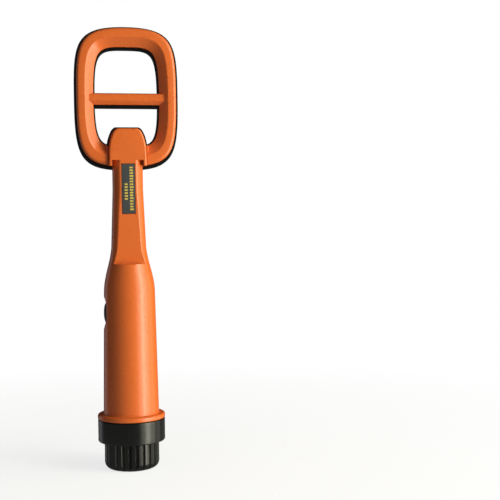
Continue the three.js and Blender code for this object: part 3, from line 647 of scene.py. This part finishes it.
# ------------------------------------------------------------------ black head cover and its screws
def build_rear_cover():
    front, back = cover_low[1], cover_high[1]
    width = HOLE_INSET["black"][0]
    near_wall, far_wall = 2, 12.1
    cover = band("head_cover_back", black_outer, black_inner, rounded([
        (0, front, 0.25), (0, back, 3.6), (width, back, 3.2), (width, front, 0.25), (far_wall, front, 0.2),
        (far_wall, COVER_CHANNEL_FLOOR, 0.4), (near_wall, COVER_CHANNEL_FLOOR, 0.4),
        (near_wall, front, 0.2)]), width)
    bottom, top = BLACK_BAR
    bar_back = back - 1
    section = rounded([
        (front, bottom, 0.25), (bar_back, bottom, 2.2), (bar_back, top, 2.2), (front, top, 0.25)])
    bar = cross_bar(section, cover_high[0] - width + 1.6, 30)
    combine(bar, [block("hollow", *BAR_HOLLOW)], "DIFFERENCE")
    edge = 2.0
    tongue_rows = [(tombstone(BLACK_GROW, COVER_TONGUE_BOTTOM), front)]
    for a in np.linspace(0, math.pi / 2, 8):
        outline = tombstone(BLACK_GROW - edge * (1 - math.cos(a)), COVER_TONGUE_BOTTOM)
        tongue_rows.append((outline, back - edge + edge * math.sin(a)))
    combine(cover, [bar, slab("tongue", tongue_rows)], "UNION")
    recesses = []
    for (x, z), (_, high) in zip(screw_spots, screw_boxes.values()):
        floor, outside = high[1] - SCREW_HEAD_HEIGHT - GAP, 14
        profile = [(0, floor), (RECESS_RADIUS, floor), (RECESS_RADIUS, outside), (0, outside)]
        recesses.append(turned("recess", profile, 48, "y", (x, 0, z)))
    combine(cover, [*recesses, lead_way(200, 209.5, 2.4), *drilled(-1, 20)], "DIFFERENCE")
    return finish_piece(cover, "black_plastic", "housing", "head_rear_cover")


def build_gasket():
    """A seal squeezed into the joint between the two halves of the head."""
    front, back = ring_high[1] - SEAL_OVERLAP, cover_low[1] + SEAL_OVERLAP
    outside, inside = SEAL_INSET
    profile = [(outside, front), (outside, back), (inside, back), (inside, front)]
    seal = band("head_seal", orange_outer, orange_inner, profile, HOLE_INSET["orange"][0])
    combine(seal, [lead_way(200, 211, 3.2)], "DIFFERENCE")
    return finish_piece(seal, "black_rubber", "housing", "head_gasket")


def build_screw(index):
    low, high = screw_boxes[index]
    x, z = screw_spots[index - 1]
    top, tip = high[1], low[1]
    shank, head, under = 0.95, 1.9, top - SCREW_HEAD_HEIGHT
    profile = rounded([
        (0, tip, 0), (0.6, tip, 0.1), (shank, tip + 0.6, 0.1), (shank, under, 0.05),
        (head, under, 0.12), (head, top - 0.5, 0.45), (1.2, top, 0.5), (0, top, 0)], closed=False)
    body = turned(f"cover_screw_{index}", profile, 64, "y", (x, 0, z))
    reach, half, floor = 1.2, 0.22, top - 0.7  # the cross in the screw's head
    arms = [block("arm", (x - reach, floor, z - half), (x + reach, top + 1, z + half)),
            block("arm", (x - half, floor, z - reach), (x + half, top + 1, z + reach))]
    combine(body, arms, "DIFFERENCE")
    return finish_piece(body, "steel", "housing", f"head_screw_{index}")


# ------------------------------------------------------------------ screw cap
CAP_COLUMNS = RIBS * 14
THREAD_STEPS = 97


def cap_ring(radius, z, groove):
    """One level of the cap's skin, with narrow grooves of that depth between its ribs."""
    angles = np.linspace(0, 2 * math.pi, CAP_COLUMNS, endpoint=False)
    from_groove = np.abs((angles * RIBS / (2 * math.pi)) % 1 - 0.5) * (2 * math.pi / RIBS) * KNOB_RADIUS
    depth = groove * np.clip(1 - (from_groove / RIB_GROOVE_HALF) ** 2, 0, 1) ** 0.7
    crown = RIB_CROWN * (1 - from_groove * RIBS / (math.pi * KNOB_RADIUS)) ** 2
    reach = radius - depth - crown * min(1.0, groove)
    return np.stack([reach * np.cos(angles), reach * np.sin(angles), np.full(CAP_COLUMNS, z)], 1)


def build_cap():
    bore_radius, bore_bottom = CAP_BORE
    mouth_radius, mouth_bottom = CAP_MOUTH
    knob_bore_radius, floor = KNOB_BORE
    outline = rounded([
        (0, 0, 0), (KNOB_RADIUS, 0, KNOB_FILLET), (KNOB_RADIUS, KNOB_TOP, 0.3),
        (COLLAR_RADIUS, KNOB_TOP, 0.8), (COLLAR_RADIUS, COLLAR_TOP, 0.5), (mouth_radius, COLLAR_TOP, 0.2),
        (mouth_radius, mouth_bottom, 0.1), (bore_radius, 30.4, 0.1), (bore_radius, bore_bottom, 0.2),
        (knob_bore_radius, bore_bottom, 0.2), (knob_bore_radius, floor, 0.8), (0, floor, 0),
    ], closed=False, steps=8)
    longest_step = 1.2
    dense = []
    for (r0, z0), (r1, z1) in zip(outline, outline[1:]):
        count = max(1, int(math.hypot(r1 - r0, z1 - z0) / longest_step))
        dense += [(r0 + (r1 - r0) * k / count, z0 + (z1 - z0) * k / count) for k in range(count)]
    dense.append(tuple(outline[-1]))
    fade_from, fade_width = RIB_FADE
    rows = []
    for radius, z in dense:
        on_knob = z < KNOB_TOP - 0.15 and radius > fade_from
        share = np.clip((radius - fade_from) / fade_width, 0, 1) if on_knob else 0.0
        rows.append(cap_ring(max(radius, 0.01), z, RIB_GROOVE * share))
    return finish_piece(skin("screw_cap", rows), "black_plastic", "cap", "cap_shell", angle=40)


def thread_ridge(name, radius, phase, slot, body):
    """A round-section thread ridge of one turn with run-out ends."""
    up = np.array([0, 0, 1])
    rows = []
    for t in np.linspace(0, 1, THREAD_STEPS):
        angle = phase + 2 * math.pi * t
        size = THREAD_SECTION * min(1, 12 * min(t, 1 - t) + 0.15)
        height = THREAD_BOTTOM + THREAD_LEAD * t
        centre = np.array([radius * math.cos(angle), radius * math.sin(angle), height])
        out = np.array([math.cos(angle), math.sin(angle), 0])
        rows.append([centre + size * (out * math.cos(a) + up * math.sin(a))
                     for a in np.linspace(0, 2 * math.pi, 12, endpoint=False)])
    return finish_piece(skin(name, rows), slot, body, angle=60)


# ------------------------------------------------------------------ button and label
def build_button():
    stem_radius, stem_end = BUTTON_STEM
    flange_radius, flange_inner, flange_outer = BUTTON_FLANGE
    profile = rounded([
        (0, -stem_end, 0), (stem_radius, -stem_end, 0.3), (stem_radius, -flange_inner, 0.3),
        (flange_radius, -flange_inner, 0.2), (flange_radius, -flange_outer, 0.2),
        (BUTTON_RADIUS, -flange_outer, 0.1), (BUTTON_RADIUS, -DISH_FLOOR, 0.5)], closed=False)
    rise = BUTTON_CROWN - BUTTON_SHOULDER
    dome = [(BUTTON_RADIUS * math.cos(a), -BUTTON_SHOULDER - rise * math.sin(a))
            for a in np.linspace(0.06, math.pi / 2, 20)]
    outline = [*profile, *dome[:-1], (0, -BUTTON_CROWN)]
    button = turned("power_button", outline, 96, "x", (0, 0, BUTTON_Z))
    return finish_piece(button, "black_rubber", "button", "button_cap", angle=50)


def rounded_tile(name, low, high, front, back, radius, edge):
    """A flat tile with round corners and a rounded front edge."""
    x0, z0 = low
    x1, z1 = high

    def outline(inset):
        return rounded([(x0 + inset, z0 + inset, radius), (x1 - inset, z0 + inset, radius),
                        (x1 - inset, z1 - inset, radius), (x0 + inset, z1 - inset, radius)])

    rows = []
    for a in np.linspace(0, math.pi / 2, 5):
        rows.append((outline(edge * (1 - math.sin(a))), front + edge * (1 - math.cos(a))))
    return slab(name, rows + [(outline(0), back)])


def build_label():
    plate = rounded_tile("name_plate", (plate_low[0], plate_low[2]), (plate_high[0], plate_high[2]),
                         plate_low[1], plate_high[1], 0.5, 0.08)
    finish_piece(plate, "label", "housing", "label_plate")
    middle = (plate_low[0] + plate_high[0]) / 2
    front, back = plate_low[1] - BAR_PROUD, plate_low[1] + BAR_ROOT
    marks = []
    first_bar, step, length = LONG_ROW
    for i in range(16):  # a plain scale of bars in place of lettering
        z = plate_low[2] + first_bar + i * step
        reach = 3.2 if i % 4 else 3.5
        marks.append(block("mark", (middle + 0.9, front, z), (middle + reach, back, z + length)))
    first_bar, step, length = SHORT_ROW
    for i in range(6):  # and a shorter row beside it
        z = plate_low[2] + first_bar + i * step
        marks.append(block("mark", (middle - 2.6, front, z), (middle - 0.5, back, z + length)))
    first = combine(marks[0], marks[1:], "UNION")
    first.name = "plate_marks"
    finish_piece(first, "label", "housing")
    first.data.materials.clear()
    first.data.materials.append(MARKS)


# ------------------------------------------------------------------ the pieces
build_grip()
build_ring_front()
build_rear_cover()
build_gasket()
for screw_index in screw_boxes:
    build_screw(screw_index)
build_cap()
for start in (0, 1):
    spigot_phase = math.pi * start
    cap_phase = math.pi * (start + 0.5)
    spigot_name, cap_name = f"spigot_thread_{start + 1}", f"cap_thread_{start + 1}"
    thread_ridge(spigot_name, SPIGOT_THREAD_RADIUS, spigot_phase, "orange_plastic", "housing")
    thread_ridge(cap_name, CAP_THREAD_RADIUS, cap_phase, "black_plastic", "cap")
build_button()
build_label()

slot_of = {row["node"]: row["material_slot"] for row in frame["record"]["subparts"]}
for node, obj in frame["nodes"].items():
    obj.data.materials.clear()
    obj.data.materials.append(MATERIALS[slot_of[node]])
    obj.data.shade_smooth()
    obj.data.set_sharp_from_angle(angle=math.radians(35))


# ------------------------------------------------------------------ stage, lights and camera
# the floor's radius and level are in millimetres, every other length below is in metres
FLOOR_RADIUS, FLOOR_SIDES, FLOOR_LEVEL = 1100, 96, -0.02
FLOOR_DENSITY = 0.32  # near the probe
FLOOR_FADE = (0.05, 0.5)  # distances from the origin where the floor starts to thin and where it is gone
ROOM_BEFORE, ROOM_BEHIND = 0.2, 0.03  # brightness of the surroundings in front of the probe and behind it
ROOM_TURN = (-0.2, 0.4)  # between these y directions one passes into the other
CAMERA_PLACE = (-0.0356, -0.679, 0.164)
CAMERA_AIM = (0.0851, 0, 0.14898)
CAMERA_ROLL = -0.802  # degrees
CAMERA_LENS, CAMERA_SENSOR = 70.28, 36
WARM = (1.0, 0.99, 0.8)
COOL = (0.9, 0.9, 1.0)


def pale_floor():
    angles = np.linspace(0, 2 * math.pi, FLOOR_SIDES, endpoint=False)
    level = np.full(FLOOR_SIDES, FLOOR_LEVEL)
    rim = np.stack([FLOOR_RADIUS * np.cos(angles), FLOOR_RADIUS * np.sin(angles), level], 1)
    floor = new_object("floor", rim, [tuple(range(FLOOR_SIDES))])
    material, tree, shader = node_material("pale_floor")
    shader.inputs["Base Color"].default_value = (0.9, 0.9, 0.9, 1)
    shader.inputs["Roughness"].default_value = 0.9
    shader.inputs["Emission Color"].default_value = (1, 1, 1, 1)
    shader.inputs["Emission Strength"].default_value = 0.3
    place = add_node(tree, "ShaderNodeTexCoord")
    distance = add_node(tree, "ShaderNodeVectorMath", operation="LENGTH")
    tree.links.new(place.outputs["Object"], distance.inputs[0])
    fade = mapped(tree, distance.outputs["Value"], FLOOR_DENSITY, 0.0, *FLOOR_FADE)
    tree.links.new(fade, shader.inputs["Alpha"])
    floor.data.materials.append(material)


def soft_box(name, azimuth, height, distance, size, power, color=(1, 1, 1), aim=150):
    """An area light; azimuth 0 is in front of the probe, 90 on its right."""
    light = bpy.data.lights.new(name, "AREA")
    light.shape = "RECTANGLE"
    light.size, light.size_y = size
    light.energy = power
    light.color = color
    lamp = bpy.data.objects.new(name, light)
    turn = math.radians(azimuth)
    place = Vector((math.sin(turn) * distance, -math.cos(turn) * distance, height))
    lamp.location = place
    lamp.rotation_euler = (Vector((0, 0, aim * MM)) - place).to_track_quat("-Z", "Y").to_euler()
    bpy.context.scene.collection.objects.link(lamp)


def studio_world():
    """White to the camera; reflections and lighting see a dim room, dimmest behind the probe."""
    world = bpy.data.worlds.new("studio")
    bpy.context.scene.world = world
    world.use_nodes = True
    tree = world.node_tree
    tree.nodes.clear()
    output = add_node(tree, "ShaderNodeOutputWorld")
    white = add_node(tree, "ShaderNodeBackground")
    white.inputs["Strength"].default_value = 1.0
    white.inputs["Color"].default_value = (1, 1, 1, 1)
    room = add_node(tree, "ShaderNodeBackground")
    place = add_node(tree, "ShaderNodeTexCoord")
    split = add_node(tree, "ShaderNodeSeparateXYZ")
    tree.links.new(place.outputs["Generated"], split.inputs["Vector"])
    brightness = mapped(tree, split.outputs["Y"], ROOM_BEFORE, ROOM_BEHIND, *ROOM_TURN)
    tree.links.new(brightness, room.inputs["Strength"])
    rays = add_node(tree, "ShaderNodeLightPath")
    mix = add_node(tree, "ShaderNodeMixShader")
    tree.links.new(rays.outputs["Is Camera Ray"], mix.inputs["Fac"])
    tree.links.new(room.outputs["Background"], mix.inputs[1])
    tree.links.new(white.outputs["Background"], mix.inputs[2])
    tree.links.new(mix.outputs["Shader"], output.inputs["Surface"])


def photo_camera():
    data = bpy.data.cameras.new("camera")
    data.sensor_width = CAMERA_SENSOR
    data.lens = CAMERA_LENS
    camera = bpy.data.objects.new("camera", data)
    place = Vector(CAMERA_PLACE)
    camera.location = place
    turn = (Vector(CAMERA_AIM) - place).to_track_quat("-Z", "Y").to_matrix()
    roll = Matrix.Rotation(math.radians(CAMERA_ROLL), 3, "Z")
    camera.rotation_euler = (turn @ roll).to_euler()
    bpy.context.scene.collection.objects.link(camera)
    bpy.context.scene.camera = camera


pale_floor()
studio_world()
photo_camera()
# name, azimuth, height, distance, (width, height), watts, colour
soft_box("key", 54, 0.26, 1.1, (0.38, 1.5), 16.0, WARM)
soft_box("strip", 35, 0.26, 1.1, (0.2, 1.5), 2.9, WARM)
soft_box("wing", 75, 0.26, 1.1, (0.3, 1.5), 5.2, WARM)
soft_box("side", 100, 0.26, 1.0, (0.3, 1.5), 1.8, WARM)
soft_box("rim", -134, 0.15, 0.9, (0.35, 0.8), 0.5, COOL)
bpy.context.scene.view_settings.view_transform = "Standard"
